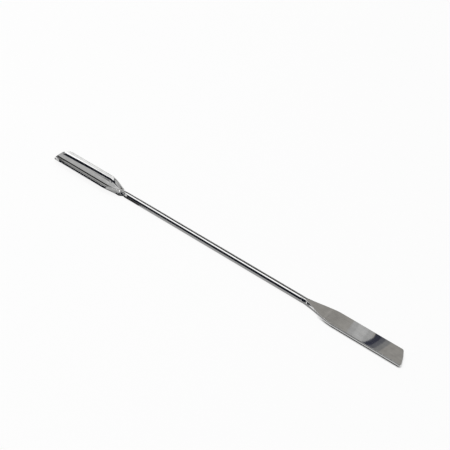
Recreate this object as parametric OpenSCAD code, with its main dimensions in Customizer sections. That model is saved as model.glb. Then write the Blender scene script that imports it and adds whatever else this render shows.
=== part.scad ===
// Double-ended laboratory spatula, pressed from one length of round steel rod.
// One end is flattened into a blade with an oblique tip.
// The other is flattened into a strip and bent up into a trough with an open, rounded end.
// The tool lies along X, trough at -X and blade at +X, and Z is up. The origin is under the
// middle of its length, at the height of its underside.

/* [Rod] */
// Diameter of the round rod
rod_d = 3; // [2.5:0.1:4]
// Length that stays round between the two pressed ends
rod_len = 102.5; // [60:0.5:160]

/* [Blade] */
// Length from the end of the round rod to the farthest point of the blade
blade_len = 52; // [40:0.5:70]
// Length over which the rod flares out into the blade
flare_len = 18; // [12:0.5:25]
// Length over which the rod is pressed down to the blade's thickness
press_len = 14; // [8:0.5:20]
// Width of the blade
blade_w = 8; // [6:0.1:12]
// Thickness of the blade
blade_t = 1.2; // [0.8:0.05:1.6]
// Radius along the blade's edges
blade_edge_r = 0.2; // [0.1:0.05:0.3]
// Angle by which the end is cut off square
tip_angle = 26; // [0:1:35]
// Height of the end's slight outward curve
tip_bow = 0.35; // [0:0.05:0.8]
// Radius of the end's two corners, seen from above
tip_corner_r = 0.8; // [0.3:0.1:1.5]

/* [Trough] */
// Length from the end of the round rod to the farthest point of the trough
trough_len = 45.5; // [35:0.5:70]
// Length over which the rod spreads to the trough's strip
spread_len = 13; // [10:0.5:20]
// Length over which the rod is pressed down to the strip's thickness
thin_len = 12; // [8:0.5:16]
// Length over which the strip's sides are bent up
raise_len = 4.5; // [4:0.5:12]
// Outer width across the rims
trough_w = 9.1; // [8:0.1:11]
// Height from the underside to the top of the rims
trough_h = 3.5; // [3:0.05:4]
// Thickness of the wall
trough_wall = 0.8; // [0.6:0.05:1]
// Angle by which the sides lean outward
wall_lean = 33; // [25:1:40]
// Length of the rounding that cuts the walls back at the open end
mouth_len = 7; // [3:0.5:9]
// Radius along the rims
rim_r = 0.12; // [0.1:0.02:0.24]

/* [Ground ends] */
// Radius left by grinding round the blade's end and the trough's mouth
end_r = 0.2; // [0.1:0.05:0.25]

/* [Hidden] */

// Facets: steps across the blade's and the trough's sides, round each of their corners, along
// each neck and round each ground end. An odd number across the trough puts a flat step under
// its middle.
blade_steps = 16;
blade_corner_steps = 8;
trough_steps = 25;
rim_steps = 4;
neck_steps = 24;
end_steps = 3;
// How far round from the rod's top and bottom the blade's faces and the trough's sides start
face_reach = 20;
side_reach = 80;
// Length over which the rod's outline passes into the flattened ends' flats and rounded edges
flat_start_len = 3;
// The least share of the trough's bend, so that its radius stays finite next to the rod, and its
// tightest radius where the neck is still thick, in half thicknesses
least_bend = 0.001;
tightest_bend = 1.25;
// How far the trough's rims are flattened, as a share
rim_flatness = 0.97;
// Radius that edges keep where they meet the ground ends
least_r = 0.05;

// The necks' first outlines stand this far outside the rod, so that no corner touches it
join_step = 0.012;

rod_r = rod_d / 2;
neck_r = rod_r + join_step;
axis_z = neck_r;
overall_len = trough_len + rod_len + blade_len;
trough_end_x = -overall_len / 2;
trough_neck_x = trough_end_x + trough_len;
blade_neck_x = trough_neck_x + rod_len;
blade_end_x = overall_len / 2;
blade_neck_len = max(flare_len, press_len);
trough_neck_len = max(spread_len, thin_len, raise_len);

// The height of the rims' outer corners, and the outer bend and the straight wall above it that
// reach them at the trough's width
wall_angle = 90 - wall_lean;
rim_z = trough_h - trough_wall * sin(wall_lean);
bend_r = (trough_w / 2 * sin(wall_angle) - rim_z * cos(wall_angle)) / (1 - cos(wall_angle));
wall_straight = rim_z * sin(wall_angle) / (1 - cos(wall_angle)) - trough_w / 2;
bend_mid_r = bend_r - trough_wall / 2;
// Half of the flat strip's width before it is bent up
strip_half = bend_mid_r * wall_angle * PI / 180 + wall_straight;

// Smooth step from 0 to 1
function eased(u) = let (c = min(max(u, 0), 1)) c * c * (3 - 2 * c);
function mix(from, to, share) = from + (to - from) * share;
function heading(angle) = [cos(angle), sin(angle)];

// Places from -1 to 1 across a side: evenly spaced, or closer together toward its edges
function even_places(steps) = [for (i = [0:steps]) 2 * i / steps - 1];
function edged_places(steps) = [for (i = [0:steps]) sin(180 * i / steps - 90)];

// Outline of a strip pressed from the rod, as [across, up] points about its middle. Its edges are
// arcs of side_r that meet the flats at small corners, so with the rod's radius it starts round.
// It runs along the lower side, up the right edge, back along the upper side and down the left.
function strip(half_w, half_t, side_r, edge_r, places, corner_steps) =
    let (r = max(edge_r, least_r), n = len(places) - 1, middle = half_w - side_r,
        lean = asin(min((half_t - r) / (side_r - r), 1)),
        a = middle + (side_r - r) * cos(lean), b = half_t - r, turns = corner_steps / 2,
        edge = concat(
            [for (k = [1:turns]) [a, -b] + r * heading(-90 + (90 - lean) * k / turns)],
            [for (k = [1:corner_steps + 1])
                [middle, 0] + side_r * heading(lean * (2 * k / (corner_steps + 1) - 1))],
            [for (k = [1:turns - 1]) [a, b] + r * heading(lean + (90 - lean) * k / turns)]))
    concat(
        [for (p = places) [a * p, -half_t]],
        edge,
        [for (i = [n:-1:0]) [a * places[i], half_t]],
        [for (p = edge) -p]);

// The rod's outline about its own middle, with a point for each of a strip's. The points of the
// strip's lower and upper sides reach the given angle round from the rod's bottom and top.
function rod_outline(places, corner_steps, reach) =
    let (n = len(places) - 1, rest = 90 - reach, caps = 2 * corner_steps)
    [for (angle = concat(
        [for (p = places) -90 + reach * p],
        [for (k = [1:caps]) -rest + 2 * rest * k / (caps + 1)],
        [for (i = [n:-1:0]) 90 - reach * places[i]],
        [for (k = [1:caps]) 180 - rest + 2 * rest * k / (caps + 1)]))
        neck_r * heading(angle)];

// A strip's point after the trough's bend, or a tighter or slacker one, is made, for a strip whose
// lower side rests at zero
function bent(p, half_t = trough_wall / 2, tightness = 1) =
    let (side = sign(p[0]), along = abs(p[0]), up = p[1], mid_r = bend_mid_r / tightness,
        angle = min(along / mid_r * 180 / PI, wall_angle),
        straight = along - angle * mid_r * PI / 180)
    [side * ((mid_r - up) * sin(angle) + straight * cos(angle)),
        half_t + mid_r - (mid_r - up) * cos(angle) + straight * sin(angle)];

// How far behind the end's farthest point the trough's mouth starts, across the flat strip
function mouth_setback(across) =
    mouth_len * (1 - sqrt(max(0, 1 - pow(across / strip_half, 2))));

// The same for the blade's end: its slant, its slight curve and its rounded corners
function slant_setback(across) =
    let (half = blade_w / 2, corner = min(max((abs(across) - half) / tip_corner_r + 1, 0), 1))
    (across + half) * tan(tip_angle) + tip_bow * pow(across / half, 2)
        + tip_corner_r * (1 - sqrt(1 - corner * corner));
nearest_slant = min([for (p = edged_places(4 * blade_steps)) slant_setback(blade_w / 2 * p)]);
function tip_setback(across) = max(0, slant_setback(across) - nearest_slant);

// The section of the blade at a distance from the round rod
function blade_section(from_rod, inset = 0) =
    let (places = edged_places(blade_steps), pressed = eased(from_rod / press_len),
        half_w = mix(neck_r, blade_w / 2, eased(from_rod / flare_len)) - inset,
        half_t = mix(neck_r, blade_t / 2, pressed) - inset,
        flattened = strip(half_w, half_t, neck_r, blade_edge_r - inset, places,
            blade_corner_steps),
        round_outline = rod_outline(places, blade_corner_steps, face_reach),
        share = min(from_rod / flat_start_len, 1))
    [for (i = [0:len(flattened) - 1]) mix(round_outline[i], flattened[i], share)];

function blade_rings() =
    concat(
        [for (k = [0:neck_steps])
            let (from_rod = blade_neck_len * k / neck_steps)
            [for (p = blade_section(from_rod)) [blade_neck_x + from_rod, p[0], axis_z + p[1]]]],
        [for (k = [0:end_steps])
            let (turn = 90 * k / end_steps, back = end_r * (1 - sin(turn)))
            [for (p = blade_section(blade_len, end_r * (1 - cos(turn))))
                [blade_end_x - back - tip_setback(p[0]), p[0], axis_z + p[1]]]]);

// The radius of the rims' edges: the rod's at first, and nearly flat on the finished strip
function rim_side_r(thinned) = neck_r / (1 - rim_flatness * thinned);

// The section of the trough at a distance from the round rod: the rod pressed into a strip that
// spreads and thins while its sides are bent up. Where the strip is narrower its bend is tighter,
// which lifts the rims close behind the rod.
function trough_section(from_rod) =
    let (places = even_places(trough_steps), thinned = eased(from_rod / thin_len),
        half_w = mix(neck_r, strip_half, eased(from_rod / spread_len)),
        half_t = mix(neck_r, trough_wall / 2, thinned),
        raised = max(eased(from_rod / raise_len), least_bend),
        tightness = min(raised * strip_half / half_w, bend_mid_r / (tightest_bend * half_t)),
        flattened = strip(half_w, half_t, rim_side_r(thinned), rim_r, places, rim_steps),
        round_outline = rod_outline(places, rim_steps, side_reach),
        share = min(from_rod / flat_start_len, 1))
    [for (i = [0:len(flattened) - 1])
        mix(round_outline[i] + [0, axis_z], bent(flattened[i], half_t, tightness), share)];

function trough_rings() =
    let (places = even_places(trough_steps))
    concat(
        [for (k = [end_steps:-1:0])
            let (turn = 90 * k / end_steps, inset = end_r * (1 - cos(turn)),
                outline = strip(strip_half - inset, trough_wall / 2 - inset, rim_side_r(1),
                    rim_r - inset, places, rim_steps))
            [for (p = outline)
                let (q = bent(p))
                [trough_end_x + end_r * (1 - sin(turn)) + mouth_setback(p[0]), q[0], q[1]]]],
        [for (k = [neck_steps:-1:0])
            let (from_rod = trough_neck_len * k / neck_steps)
            [for (p = trough_section(from_rod)) [trough_neck_x - from_rod, p[0], p[1]]]]);

// A solid through rings of points that run the same way round, in order along +X
module loft(rings, side_steps, corner_steps) {
    count = len(rings[0]);
    caps = 2 * corner_steps;
    top_right = side_steps + caps + 1;
    // Each point of the lower side has one opposite it on the upper side
    function opposite(i) = top_right + side_steps - i;
    function at(ring, i) = ring * count + i % count;
    function quad(a, b, c, d, mirrored) =
        mirrored ? [[d, c, b], [d, b, a]] : [[c, b, a], [d, c, a]];
    skin = [for (ring = [0:len(rings) - 2], i = [0:count - 1])
        each quad(at(ring, i), at(ring, i + 1), at(ring + 1, i + 1), at(ring + 1, i),
            rings[ring][i][1] > 0)];
    function closing(ring) = concat(
        [for (i = [0:side_steps - 1])
            each quad(at(ring, i), at(ring, i + 1), at(ring, opposite(i + 1)),
                at(ring, opposite(i)), 2 * i > side_steps)],
        [for (start = [side_steps, opposite(0)], k = [1:caps])
            [at(ring, start + k + 1), at(ring, start + k), at(ring, start)]]);
    first_end = [for (face = closing(0)) [face[2], face[1], face[0]]];
    polyhedron(
        points = [for (ring = rings, p = ring) p],
        faces = concat(skin, first_end, closing(len(rings) - 1)));
}

module rod()
    translate([trough_neck_x, 0, axis_z])
        rotate([0, 90, 0])
            cylinder(h = rod_len, r = rod_r, $fn = 96);

module blade() loft(blade_rings(), blade_steps, blade_corner_steps);

module trough() loft(trough_rings(), trough_steps, rim_steps);

module spatula()
    color("silver")
        union() {
            rod();
            blade();
            trough();
        }

spatula();
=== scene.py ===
"""A double-ended laboratory spatula of polished steel, lying on a white table in a photo studio."""

import math

import bpy
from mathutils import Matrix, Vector


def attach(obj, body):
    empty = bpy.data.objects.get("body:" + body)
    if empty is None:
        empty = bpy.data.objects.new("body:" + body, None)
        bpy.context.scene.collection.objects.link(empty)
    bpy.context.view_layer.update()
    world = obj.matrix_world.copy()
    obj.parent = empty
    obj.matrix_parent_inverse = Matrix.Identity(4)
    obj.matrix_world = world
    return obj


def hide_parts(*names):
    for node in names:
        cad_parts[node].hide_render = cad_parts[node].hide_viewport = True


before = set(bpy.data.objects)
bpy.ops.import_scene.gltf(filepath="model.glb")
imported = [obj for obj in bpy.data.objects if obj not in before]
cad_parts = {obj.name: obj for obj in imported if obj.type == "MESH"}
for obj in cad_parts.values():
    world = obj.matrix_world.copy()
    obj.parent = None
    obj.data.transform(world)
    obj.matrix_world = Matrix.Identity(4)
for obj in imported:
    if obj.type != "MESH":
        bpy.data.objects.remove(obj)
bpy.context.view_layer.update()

MM = 0.001

# The rod, in millimetres, as in the part's source
ROD_D = 3.0
ROD_LEN = 102.5

# The blade
BLADE_LEN = 52.0
FLARE_LEN = 18.0
PRESS_LEN = 14.0
BLADE_W = 8.0
BLADE_T = 1.2
BLADE_EDGE_R = 0.2
TIP_ANGLE = math.radians(26)
TIP_BOW = 0.35
TIP_CORNER_R = 0.8

# The trough
TROUGH_LEN = 45.5
SPREAD_LEN = 13.0
THIN_LEN = 12.0
RAISE_LEN = 4.5
TIGHTEST_BEND = 1.25
TROUGH_W = 9.1
TROUGH_H = 3.5
TROUGH_WALL = 0.8
WALL_LEAN = math.radians(33)
MOUTH_LEN = 7.0
RIM_R = 0.12

# Roundings, and how the pressed shapes start from the rod, as in the part's source
END_R = 0.2
LEAST_R = 0.05
RIM_FLATNESS = 0.97
JOIN_STEP = 0.012
LEAST_BEND = 0.001
FLAT_START_LEN = 3.0
FACE_REACH = math.radians(20)
SIDE_REACH = math.radians(80)

# Steps of the fine mesh
SIDE_STEPS = 60
CORNER_STEPS = 16
NECK_RINGS = 110
ROD_RINGS = 60
STRAIGHT_RINGS = 60
END_STEPS = 6

ROD_R = ROD_D / 2
AXIS_Z = ROD_R + JOIN_STEP
HALF_LEN = (TROUGH_LEN + ROD_LEN + BLADE_LEN) / 2
TROUGH_NECK_X = TROUGH_LEN - HALF_LEN
BLADE_NECK_X = TROUGH_NECK_X + ROD_LEN
WALL_ANGLE = math.pi / 2 - WALL_LEAN
RIM_Z = TROUGH_H - TROUGH_WALL * math.sin(WALL_LEAN)
BEND_R = (TROUGH_W / 2 * math.sin(WALL_ANGLE) - RIM_Z * math.cos(WALL_ANGLE)) / (
    1 - math.cos(WALL_ANGLE))
WALL_STRAIGHT = RIM_Z * math.sin(WALL_ANGLE) / (1 - math.cos(WALL_ANGLE)) - TROUGH_W / 2
BEND_MID_R = BEND_R - TROUGH_WALL / 2
STRIP_HALF = BEND_MID_R * WALL_ANGLE + WALL_STRAIGHT


def clamp(u):
    return min(max(u, 0.0), 1.0)


def eased(u):
    return clamp(u) ** 2 * (3 - 2 * clamp(u))


def mix(a, b, share):
    return a + (b - a) * share


def even_places():
    return [2 * i / SIDE_STEPS - 1 for i in range(SIDE_STEPS + 1)]


def edged_places():
    return [math.sin(math.pi * (i / SIDE_STEPS - 0.5)) for i in range(SIDE_STEPS + 1)]


def arc(cx, cy, r, start, end, steps, last):
    """Points on an arc after its start, up to the given step of all its steps."""
    turns = [start + (end - start) * k / steps for k in range(1, last + 1)]
    return [(cx + r * math.cos(t), cy + r * math.sin(t)) for t in turns]


def strip(half_w, half_t, side_r, edge_r, places):
    """Outline of a strip pressed from the rod: lower side, right edge, upper side, left edge."""
    r = max(edge_r, LEAST_R)
    middle, turns = half_w - side_r, CORNER_STEPS // 2
    lean = math.asin(min((half_t - r) / (side_r - r), 1.0))
    a, b = middle + (side_r - r) * math.cos(lean), half_t - r
    edge = (arc(a, -b, r, -math.pi / 2, -lean, turns, turns)
            + arc(middle, 0, side_r, -lean, lean, CORNER_STEPS + 1, CORNER_STEPS + 1)
            + arc(a, b, r, lean, math.pi / 2, turns, turns - 1))
    return ([(a * p, -half_t) for p in places] + edge
            + [(a * p, half_t) for p in reversed(places)] + [(-x, -y) for x, y in edge])


def rod_outline(reach):
    """The rod's round outline with a point for each of a strip's."""
    places, rest, caps = even_places(), math.pi / 2 - reach, 2 * CORNER_STEPS
    edge = [-rest + 2 * rest * k / (caps + 1) for k in range(1, caps + 1)]
    angles = ([-math.pi / 2 + reach * p for p in places] + edge
              + [math.pi / 2 - reach * p for p in reversed(places)]
              + [math.pi + a for a in edge])
    return [(ROD_R * math.cos(a), ROD_R * math.sin(a)) for a in angles]


def bent(point, half_t=TROUGH_WALL / 2, tightness=1.0):
    """A strip's point after the trough's bend, for a strip whose lower side rests at zero."""
    along, up, mid_r = abs(point[0]), point[1], BEND_MID_R / tightness
    angle = min(along / mid_r, WALL_ANGLE)
    straight = along - angle * mid_r
    across = (mid_r - up) * math.sin(angle) + straight * math.cos(angle)
    height = half_t + mid_r - (mid_r - up) * math.cos(angle) + straight * math.sin(angle)
    return math.copysign(across, point[0]), height


def mouth_setback(across):
    return MOUTH_LEN * (1 - math.sqrt(max(0.0, 1 - (across / STRIP_HALF) ** 2)))


def slant_setback(across):
    half = BLADE_W / 2
    turned = clamp((abs(across) - half) / TIP_CORNER_R + 1)
    return ((across + half) * math.tan(TIP_ANGLE) + TIP_BOW * (across / half) ** 2
            + TIP_CORNER_R * (1 - math.sqrt(1 - turned ** 2)))


NEAREST_SLANT = min(slant_setback(BLADE_W / 2 * p) for p in edged_places())


def blade_section(from_rod, inset=0.0):
    pressed = eased(from_rod / PRESS_LEN)
    flat = strip(mix(ROD_R, BLADE_W / 2, eased(from_rod / FLARE_LEN)) - inset,
                 mix(ROD_R, BLADE_T / 2, pressed) - inset, ROD_R, BLADE_EDGE_R - inset,
                 edged_places())
    share = clamp(from_rod / FLAT_START_LEN)
    return [(mix(a[0], b[0], share), mix(a[1], b[1], share))
            for a, b in zip(rod_outline(FACE_REACH), flat)]


def blade_rings():
    rings = []
    for k in range(1, NECK_RINGS + 1):
        from_rod = FLARE_LEN * k / NECK_RINGS
        rings.append([(BLADE_NECK_X + from_rod, y, AXIS_Z + z) for y, z in blade_section(from_rod)])
    straight = BLADE_LEN - FLARE_LEN - END_R
    outline = blade_section(BLADE_LEN)
    for k in range(1, STRAIGHT_RINGS + 1):
        share = k / STRAIGHT_RINGS
        rings.append([(BLADE_NECK_X + FLARE_LEN
                       + share * (straight - max(0.0, slant_setback(y) - NEAREST_SLANT)),
                       y, AXIS_Z + z) for y, z in outline])
    for k in range(1, END_STEPS + 1):
        turn = math.pi / 2 * k / END_STEPS
        inset, back = END_R * (1 - math.cos(turn)), END_R * (1 - math.sin(turn))
        rings.append([(HALF_LEN - back - max(0.0, slant_setback(y) - NEAREST_SLANT), y, AXIS_Z + z)
                      for y, z in blade_section(BLADE_LEN, inset)])
    return rings


def rim_side_r(thinned):
    return ROD_R / (1 - RIM_FLATNESS * thinned)


def trough_section(from_rod):
    thinned = eased(from_rod / THIN_LEN)
    half_w = mix(ROD_R, STRIP_HALF, eased(from_rod / SPREAD_LEN))
    half_t = mix(ROD_R, TROUGH_WALL / 2, thinned)
    raised = max(eased(from_rod / RAISE_LEN), LEAST_BEND)
    tightness = min(raised * STRIP_HALF / half_w, BEND_MID_R / (TIGHTEST_BEND * half_t))
    flat = strip(half_w, half_t, rim_side_r(thinned), RIM_R, even_places())
    share = clamp(from_rod / FLAT_START_LEN)
    section = []
    for (y, z), point in zip(rod_outline(SIDE_REACH), flat):
        across, height = bent(point, half_t, tightness)
        section.append((mix(y, across, share), mix(AXIS_Z + z, height, share)))
    return section


def trough_rings():
    rings = []
    for k in range(END_STEPS, 0, -1):
        turn = math.pi / 2 * k / END_STEPS
        inset, back = END_R * (1 - math.cos(turn)), END_R * (1 - math.sin(turn))
        outline = strip(STRIP_HALF - inset, TROUGH_WALL / 2 - inset, rim_side_r(1), RIM_R - inset,
                        even_places())
        rings.append([(-HALF_LEN + back + mouth_setback(p[0]),) + bent(p) for p in outline])
    outline = strip(STRIP_HALF, TROUGH_WALL / 2, rim_side_r(1), RIM_R, even_places())
    straight = TROUGH_LEN - SPREAD_LEN - END_R
    for k in range(STRAIGHT_RINGS):
        share = k / STRAIGHT_RINGS
        rings.append([(-HALF_LEN + END_R + mouth_setback(p[0]) * (1 - share) + share * straight,)
                      + bent(p) for p in outline])
    for k in range(NECK_RINGS, 0, -1):
        from_rod = SPREAD_LEN * k / NECK_RINGS
        rings.append([(TROUGH_NECK_X - from_rod, y, z) for y, z in trough_section(from_rod)])
    return rings


def rod_rings():
    rings = []
    for k in range(ROD_RINGS + 1):
        share = k / ROD_RINGS
        rings.append([(TROUGH_NECK_X + ROD_LEN * share, y, AXIS_Z + z)
                      for y, z in rod_outline(mix(SIDE_REACH, FACE_REACH, share))])
    return rings


def spatula_mesh():
    """One closed skin from the trough's mouth, along the rod, to the blade's end.

    Each ring of points holds the lower side, the right edge, the upper side and the left edge. The
    first and the last ring are closed by strips between the two sides, and by the two edges' caps.
    """
    rings = trough_rings() + rod_rings() + blade_rings()
    count = len(rings[0])
    caps = 2 * CORNER_STEPS
    top_left = 2 * SIDE_STEPS + caps + 1

    def opposite(i):
        return top_left - i

    faces = []
    for ring in range(len(rings) - 1):
        a = ring * count
        for i in range(count):
            j = (i + 1) % count
            faces.append((a + i, a + j, a + count + j, a + count + i))
    for ring, order in ((0, -1), (len(rings) - 1, 1)):
        a = ring * count
        for i in range(SIDE_STEPS):
            faces.append((a + i, a + i + 1, a + opposite(i + 1), a + opposite(i))[::order])
        for start in (SIDE_STEPS, opposite(0)):
            rim = [a + (start + k) % count for k in range(caps + 2)]
            faces.append(tuple(rim)[::order])
    mesh = bpy.data.meshes.new("spatula_skin")
    points = [(x * MM, y * MM, z * MM) for ring in rings for x, y, z in ring]
    mesh.from_pydata(points, [], faces)
    mesh.update()
    return mesh


def new_material(name):
    material = bpy.data.materials.new(name)
    material.use_nodes = True
    return material, material.node_tree.nodes, material.node_tree.links


def add_node(nodes, kind, values=()):
    """A new shader node with the given values on its sockets."""
    node = nodes.new("ShaderNode" + kind)
    for socket, value in dict(values).items():
        node.inputs[socket].default_value = value
    return node


def add_math(nodes, operation):
    node = nodes.new("ShaderNodeMath")
    node.operation = operation
    return node


# The steel's finish: lines along X, and a haze that is the same in all directions
STEEL_IOR = 2.5
LINE_SCALES = (60, 3500, 3500)
LINE_DETAIL = 4.0
LINE_STRENGTH = 0.08
LINE_HEIGHT = 0.04 * MM
HAZE_SCALE = 420.0
HAZE_DETAIL = 3.0
SMOOTHEST, ROUGHEST = 0.03, 0.07
DARK_AT, PALE_AT = 0.7, 1.3
DARK_STEEL = (0.63, 0.63, 0.625, 1)
PALE_STEEL = (0.77, 0.77, 0.765, 1)


def steel():
    """Polished stainless steel: faint lengthwise polishing lines, finger-soft haze, pale grey."""
    material, nodes, links = new_material("polished_steel")
    shader = nodes["Principled BSDF"]
    shader.inputs["Metallic"].default_value = 1.0
    shader.inputs["IOR"].default_value = STEEL_IOR

    place = add_node(nodes, "TexCoord")
    along = add_node(nodes, "Mapping", {"Scale": LINE_SCALES})
    lines = add_node(nodes, "TexNoise", {"Scale": 1.0, "Detail": LINE_DETAIL})
    haze = add_node(nodes, "TexNoise", {"Scale": HAZE_SCALE, "Detail": HAZE_DETAIL})
    roughness = add_node(nodes, "MapRange", {"To Min": SMOOTHEST, "To Max": ROUGHEST})
    both = add_math(nodes, "ADD")
    paleness = add_node(nodes, "MapRange", {"From Min": DARK_AT, "From Max": PALE_AT})
    tint = nodes.new("ShaderNodeMix")
    tint.data_type = "RGBA"
    tint.inputs["A"].default_value = DARK_STEEL
    tint.inputs["B"].default_value = PALE_STEEL
    bump = add_node(nodes, "Bump", {"Strength": LINE_STRENGTH, "Distance": LINE_HEIGHT})

    links.new(place.outputs["Object"], along.inputs["Vector"])
    links.new(along.outputs["Vector"], lines.inputs["Vector"])
    links.new(place.outputs["Object"], haze.inputs["Vector"])
    links.new(haze.outputs["Fac"], roughness.inputs["Value"])
    links.new(roughness.outputs["Result"], shader.inputs["Roughness"])
    links.new(lines.outputs["Fac"], both.inputs[0])
    links.new(haze.outputs["Fac"], both.inputs[1])
    links.new(both.outputs["Value"], paleness.inputs["Value"])
    links.new(paleness.outputs["Result"], tint.inputs["Factor"])
    links.new(tint.outputs["Result"], shader.inputs["Base Color"])
    links.new(lines.outputs["Fac"], bump.inputs["Height"])
    links.new(bump.outputs["Normal"], shader.inputs["Normal"])
    return material


spatula = bpy.data.objects.new("spatula_body", spatula_mesh())
bpy.context.scene.collection.objects.link(spatula)
spatula.data.materials.append(steel())
for face in spatula.data.polygons:
    face.use_smooth = True
# The flats keep their own normals, and the narrow roundings beside them take up the turn
weighted = spatula.modifiers.new("weighted", "WEIGHTED_NORMAL")
weighted.mode = "FACE_AREA"
weighted.weight = 50
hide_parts("spatula")
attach(spatula, "root")


# The studio. Its cards are glowing and dark panels that only the steel reflects.
def card(name, corners, colour):
    mesh = bpy.data.meshes.new(name)
    mesh.from_pydata(corners, [], [tuple(range(len(corners)))])
    panel = bpy.data.objects.new(name, mesh)
    bpy.context.scene.collection.objects.link(panel)
    material, nodes, links = new_material(name)
    nodes.remove(nodes["Principled BSDF"])
    glow = add_node(nodes, "Emission", {"Color": (*colour, 1)})
    links.new(glow.outputs["Emission"], nodes["Material Output"].inputs["Surface"])
    mesh.materials.append(material)
    panel.visible_camera = False
    panel.visible_diffuse = False
    panel.visible_shadow = False


def upright(name, y, outline, colour):
    """A card facing along Y, from its corners' places across and up."""
    card(name, [(x, y, z) for x, z in outline], colour)


def level(name, z, outline, colour):
    """A card facing along Z, from its corners' places across and deep."""
    card(name, [(x, y, z) for x, y in outline], colour)


def rectangle(across, other):
    """A rectangle's corners from its two spans."""
    return [(across[0], other[0]), (across[1], other[0]), (across[1], other[1]), (across[0], other[1])]


def grey(brightness):
    return (brightness, brightness, brightness)


def warm(brightness):
    return tuple(brightness * part for part in WARM_WHITE)


def background_rays(nodes, links):
    """One where the camera, the steel or glass sees a surface, and zero for the light it gives."""
    rays = add_node(nodes, "LightPath")
    seen = rays.outputs["Is Camera Ray"]
    for kind in ("Is Glossy Ray", "Is Transmission Ray"):
        either = add_math(nodes, "MAXIMUM")
        links.new(seen, either.inputs[0])
        links.new(rays.outputs[kind], either.inputs[1])
        seen = either.outputs["Value"]
    return seen


NAVY = (0.010, 0.012, 0.020)
WARM_WHITE = (1.0, 0.965, 0.91)

# The room in metres. A card in front of another stands one layer or more off it.
ROOM_TOP = 2.0
ROOM_LEFT, ROOM_RIGHT = -3.0, 3.0
NEAR_WALL, FAR_WALL = -1.5, 2.0
LAYER = 0.01
WIDTH = (ROOM_LEFT, ROOM_RIGHT)
HEIGHT = (0.0, ROOM_TOP)

# The ceiling's three bays: the near one, the one around the lamp, and the far one
BOX_NEAR, BOX_FAR = -0.75, 0.53
NEAR_BAY = (NEAR_WALL, BOX_NEAR)
MIDDLE_BAY = (BOX_NEAR, BOX_FAR)
FAR_BAY = (BOX_FAR, FAR_WALL)

# The softbox lights the scene, and the cards at its height are what the steel sees of it
LAMP_Z = 0.85
LAMP_LEFT, LAMP_RIGHT = -0.625, 0.10
LAMP_NEAR, LAMP_FAR = -0.43, 0.23
LAMP_POWER = 5.6
FACE_SPLIT = -0.30
FACE_DEPTH = (-0.21, 0.33)

lamp_data = bpy.data.lights.new("softbox", "AREA")
lamp_data.shape = "RECTANGLE"
lamp_data.size = LAMP_RIGHT - LAMP_LEFT
lamp_data.size_y = LAMP_FAR - LAMP_NEAR
lamp_data.energy = LAMP_POWER
softbox = bpy.data.objects.new("softbox", lamp_data)
softbox.location = ((LAMP_LEFT + LAMP_RIGHT) / 2, (LAMP_NEAR + LAMP_FAR) / 2, LAMP_Z)
softbox.visible_glossy = False
bpy.context.scene.collection.objects.link(softbox)

# The rod's white line sees the first card, and the necks the second
level("softbox_face", LAMP_Z, rectangle((LAMP_LEFT, FACE_SPLIT), FACE_DEPTH), grey(1.5))
level("neck_face", LAMP_Z, rectangle((FACE_SPLIT, LAMP_RIGHT), FACE_DEPTH), grey(0.56))

# The near wall is the rod's black line, and the low card the grey one below it
upright("near_wall", NEAR_WALL, rectangle(WIDTH, HEIGHT), NAVY)
upright("near_upper", NEAR_WALL + LAYER, rectangle((-1.9, -1.62), (1.55, ROOM_TOP)), grey(0.56))
upright("near_low", NEAR_WALL + LAYER,
        [(-0.97, 0.0), (-0.97, 0.26), (-0.69, 0.08), (ROOM_RIGHT, 0.08), (ROOM_RIGHT, 0.0)], grey(0.5))
upright("trough_side_low", NEAR_WALL + 2 * LAYER, rectangle((-1.9, -1.045), (0.02, 0.44)), grey(1.04))
upright("trough_side", NEAR_WALL + 2 * LAYER,
        [(-1.9, 0.44), (-1.045, 0.44), (-1.10, 0.60), (-1.26, 0.90), (-1.42, 1.22), (-1.9, 1.22)],
        grey(1.5))
upright("blade_side", NEAR_WALL + 3 * LAYER, rectangle((-0.42, -0.22), (0.1, 0.4)), grey(0.9))
upright("neck_side", NEAR_WALL + 3 * LAYER,
        [(-0.2, ROOM_TOP), (-0.2, 1.45), (-0.06, 0.8), (0.02, 0.3), (0.02, 0.1), (0.3, 0.1),
         (0.3, ROOM_TOP)], grey(0.34))

# The far wall
upright("far_left_low", FAR_WALL, rectangle((ROOM_LEFT, -1.2), (0.0, 0.8)), grey(0.12))
upright("far_left_middle", FAR_WALL, rectangle((ROOM_LEFT, -1.5), (0.8, 1.15)), grey(0.28))
upright("far_left_top", FAR_WALL, rectangle((ROOM_LEFT, -1.5), (1.15, ROOM_TOP)), grey(0.03))
upright("far_middle", FAR_WALL, rectangle((-1.5, -1.25), (0.8, ROOM_TOP)), grey(0.06))
upright("far_right_low", FAR_WALL, rectangle((-1.2, ROOM_RIGHT), (0.0, 0.8)), grey(0.45))
upright("far_right_middle", FAR_WALL - LAYER, rectangle((-0.85, ROOM_RIGHT), (0.7, 1.3)), grey(0.58))
upright("far_right", FAR_WALL, rectangle((-1.25, ROOM_RIGHT), (0.8, ROOM_TOP)), grey(0.01))

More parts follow.
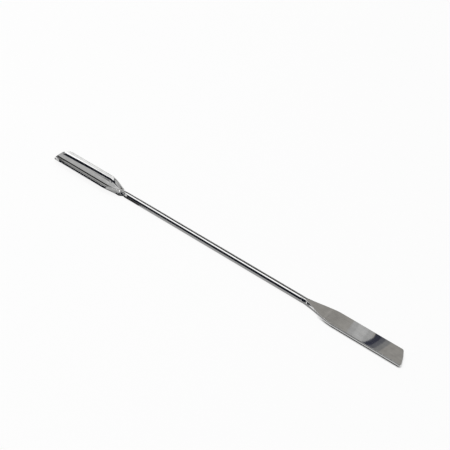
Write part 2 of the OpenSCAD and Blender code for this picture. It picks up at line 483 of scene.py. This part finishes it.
# The near and the middle bay, the ceiling over the trough, and the left wall
level("near_ceiling", ROOM_TOP, rectangle(WIDTH, NEAR_BAY), NAVY)
level("near_right", ROOM_TOP - LAYER, rectangle((-0.35, ROOM_RIGHT), NEAR_BAY), grey(0.5))
level("near_grey", ROOM_TOP - LAYER,
      [(-1.9, -1.5), (-1.70, -1.5), (-1.57, -1.10), (-1.53, -0.92), (-1.53, -0.60), (-1.9, -0.60)],
      grey(0.56))
level("box_surround", ROOM_TOP, rectangle(WIDTH, MIDDLE_BAY), grey(0.48))
level("trough_top", LAMP_Z, rectangle((-1.6, LAMP_LEFT), (-0.27, 0.63)), grey(0.54))
level("far_left", ROOM_TOP, rectangle((-2.25, -1.65), FAR_BAY), grey(0.03))
level("neck_top", ROOM_TOP - 2 * LAYER, rectangle((ROOM_LEFT, -2.25), (NEAR_WALL, FAR_WALL)), grey(0.57))
card("left_wall", [(ROOM_LEFT, y, z) for y, z in rectangle((NEAR_WALL, FAR_WALL), HEIGHT)], grey(0.72))

# The far bay: the dark part is the rod's far line, and the blade's face reflects the panels
FAR_PANELS = [("rod_back_left", -1.65, grey(0.15)), ("rod_back", -1.45, grey(0.02)),
              ("left_panel", -0.99, warm(0.41)), ("middle_panel", -0.927, warm(0.32)),
              ("pale_panel", -0.873, warm(0.39)), ("right_panel", -0.76, warm(0.355))]
panel_ends = [left for name, left, colour in FAR_PANELS[1:]] + [ROOM_RIGHT]
for (name, left, colour), right in zip(FAR_PANELS, panel_ends):
    level(name, ROOM_TOP, rectangle((left, right), FAR_BAY), colour)


def low_card(name, height, outline, colour):
    """A level card close over the tool or on the table, in millimetres."""
    level(name, height * MM, [(x * MM, y * MM) for x, y in outline], colour)


# A dark curved band hangs close over the blade's end, and a pale patch beside it, where the
# blade reflects them
BAND_HEIGHT = 30.0
BAND_STEP = 0.1
BAND_LEFT = [(66.5, 15.0), (68.2, 16.6), (69.6, 18.0), (70.6, 20.3), (71.3, 22.6), (71.0, 24.6),
             (69.6, 27.5)]
BAND_RIGHT = [(75.0, 27.5), (75.2, 25.4), (75.0, 22.9), (74.5, 20.5), (74.0, 18.5), (72.8, 16.5)]
BANDS = [("dark_band", -1.0, (0.045, 0.048, 0.070)), ("band_shade", 1.2, (0.13, 0.133, 0.15)),
         ("band_edge", 3.6, grey(0.25))]
for step, (name, widening, colour) in enumerate(BANDS):
    low_card(name, BAND_HEIGHT + step * BAND_STEP,
             BAND_LEFT + [(x + widening, y) for x, y in BAND_RIGHT], colour)

PATCH_HEIGHT = 50.0
low_card("pale_patch", PATCH_HEIGHT, [(54.5, 31.0), (60.0, 31.0), (58.0, 43.0), (52.5, 43.0)],
         grey(0.53))
low_card("patch_edge", PATCH_HEIGHT + BAND_STEP,
         [(51.5, 31.0), (62.0, 31.0), (62.5, 36.0), (60.5, 43.0), (49.5, 43.0)], grey(0.45))

# A dark flag hangs close over the trough. Its far wall and its near rim reflect it.
TROUGH_FLAG_HEIGHT = 12.0
low_card("trough_top_flag", TROUGH_FLAG_HEIGHT,
         [(-106.5, -1.8), (-103.8, -2.0), (-95.1, -3.05), (-86.9, -4.6), (-78.6, -5.9), (-70.0, -7.5),
          (-70.0, -30.0), (-86.4, -28.1), (-86.3, -20.1), (-93.5, -17.4), (-100.6, -14.3),
          (-107.0, -10.0)], NAVY)

# Flags lie on the table along the tool, where the steel's lower side reflects them. The near
# ones reach under the tool; close to it they are a painted reflection of the table's shade there.
FLAG_HEIGHT = 0.3
FLAG_END = 900.0
NEAR_END, FAR_END = -1400.0, 1900.0
UNDER_ROD, BESIDE_BLADE = -1.0, -4.8
BEHIND_TROUGH, BEHIND_ROD = 5.2, 2.2
ROD_END = 46.0


def near_flag(name, edge, colour):
    outline = edge + [(edge[-1][0], NEAR_END), (edge[0][0], NEAR_END)]
    low_card(name, FLAG_HEIGHT, outline, colour)


near_flag("trough_flag", [(-FLAG_END, UNDER_ROD), (-ROD_END, UNDER_ROD)], grey(0.045))
near_flag("rod_flag", [(-ROD_END, UNDER_ROD), (ROD_END, UNDER_ROD)], grey(0.42))
near_flag("blade_flag", [(ROD_END, UNDER_ROD), (50.0, UNDER_ROD), (62.0, BESIDE_BLADE),
                         (FLAG_END, BESIDE_BLADE)], grey(0.33))
FAR_FLAGS = [("far_white_flag", (-FLAG_END, -58.0), BEHIND_TROUGH, grey(1.15)),
             ("far_flag", (-15.0, 52.0), BEHIND_ROD, grey(0.04)),
             ("far_pale_flag", (-50.0, -15.0), BEHIND_ROD, grey(0.25))]
for name, across, start, colour in FAR_FLAGS:
    low_card(name, FLAG_HEIGHT, rectangle(across, (start, FAR_END)), colour)

# The table is white paper, lit for the camera and the steel. Close under the blade its colour
# and its white share are darkened as a painted contact shade, so that the blade's edge stands off it.
TABLE_HALF = 3.0
PAPER_WHITE, PAPER_SHADED = 0.82, 0.04
PAPER_ROUGHNESS = 0.9
PAPER_GLOSS = 0.1
LIT_SHARE = 0.9
SHADE_REACH = 1.6 * MM
SHADE_SAMPLES = 24
SHADED_AT, CLEAR_AT = 0.5, 0.76
SHADE_STARTS, SHADE_FULL = 57.0 * MM, 63.0 * MM


def white_table():
    material, nodes, links = new_material("white_table")
    paper = nodes["Principled BSDF"]
    paper.inputs["Roughness"].default_value = PAPER_ROUGHNESS
    paper.inputs["Specular IOR Level"].default_value = PAPER_GLOSS
    backlit = add_node(nodes, "Emission", {"Color": (1, 1, 1, 1), "Strength": 1.0})

    # Closeness to the tool, only along the blade, darkens the paper's colour: painted shade
    closeness = add_node(nodes, "AmbientOcclusion", {"Distance": SHADE_REACH})
    closeness.samples = SHADE_SAMPLES
    openness = add_node(nodes, "MapRange", {"From Min": SHADED_AT, "From Max": CLEAR_AT})
    place = add_node(nodes, "TexCoord")
    axes = add_node(nodes, "SeparateXYZ")
    before_blade = add_node(nodes, "MapRange", {"From Min": SHADE_FULL, "From Max": SHADE_STARTS})
    clear = add_math(nodes, "MAXIMUM")
    painted_shade_colour = add_node(nodes, "MapRange", {"To Min": PAPER_SHADED, "To Max": PAPER_WHITE})
    lit = add_node(nodes, "MapRange", {"To Max": LIT_SHARE})
    share = add_math(nodes, "MULTIPLY")
    mixed = add_node(nodes, "MixShader")

    links.new(closeness.outputs["AO"], openness.inputs["Value"])
    links.new(place.outputs["Object"], axes.inputs["Vector"])
    links.new(axes.outputs["X"], before_blade.inputs["Value"])
    links.new(openness.outputs["Result"], clear.inputs[0])
    links.new(before_blade.outputs["Result"], clear.inputs[1])
    links.new(clear.outputs["Value"], painted_shade_colour.inputs["Value"])
    links.new(painted_shade_colour.outputs["Result"], paper.inputs["Base Color"])
    links.new(clear.outputs["Value"], lit.inputs["Value"])
    links.new(background_rays(nodes, links), share.inputs[0])
    links.new(lit.outputs["Result"], share.inputs[1])
    links.new(share.outputs["Value"], mixed.inputs["Fac"])
    links.new(paper.outputs["BSDF"], mixed.inputs[1])
    links.new(backlit.outputs["Emission"], mixed.inputs[2])
    links.new(mixed.outputs["Shader"], nodes["Material Output"].inputs["Surface"])
    return material


floor_mesh = bpy.data.meshes.new("floor")
table_span = (-TABLE_HALF, TABLE_HALF)
floor_mesh.from_pydata([(x, y, 0) for x, y in rectangle(table_span, table_span)], [], [(0, 1, 2, 3)])
floor_mesh.materials.append(white_table())
floor = bpy.data.objects.new("floor", floor_mesh)
bpy.context.scene.collection.objects.link(floor)

# The world is white where the camera, the steel and glass see it, and a soft fill elsewhere
FILL_STRENGTH = 0.4
world = bpy.data.worlds.new("studio")
bpy.context.scene.world = world
world.use_nodes = True
nodes, links = world.node_tree.nodes, world.node_tree.links
fill = nodes["Background"]
fill.inputs["Color"].default_value = (1, 1, 1, 1)
fill.inputs["Strength"].default_value = FILL_STRENGTH
white = add_node(nodes, "Background", {"Color": (1, 1, 1, 1), "Strength": 1.0})
choice = add_node(nodes, "MixShader")
links.new(background_rays(nodes, links), choice.inputs["Fac"])
links.new(fill.outputs["Background"], choice.inputs[1])
links.new(white.outputs["Background"], choice.inputs[2])
links.new(choice.outputs["Shader"], nodes["World Output"].inputs["Surface"])

# The camera
CAMERA_PLACE = (0.24388, -0.28555, 0.37546)
CAMERA_AIM = (-0.00792, 0.01546, -0.00054)
CAMERA_LENS = 96.0
SENSOR_WIDTH = 36.0
camera_data = bpy.data.cameras.new("camera")
camera_data.sensor_width = SENSOR_WIDTH
camera_data.lens = CAMERA_LENS
camera = bpy.data.objects.new("camera", camera_data)
camera.location = CAMERA_PLACE
gaze = Vector(CAMERA_AIM) - Vector(CAMERA_PLACE)
camera.rotation_euler = gaze.to_track_quat("-Z", "Y").to_euler()
bpy.context.scene.collection.objects.link(camera)
bpy.context.scene.camera = camera
bpy.context.scene.view_settings.view_transform = "Standard"
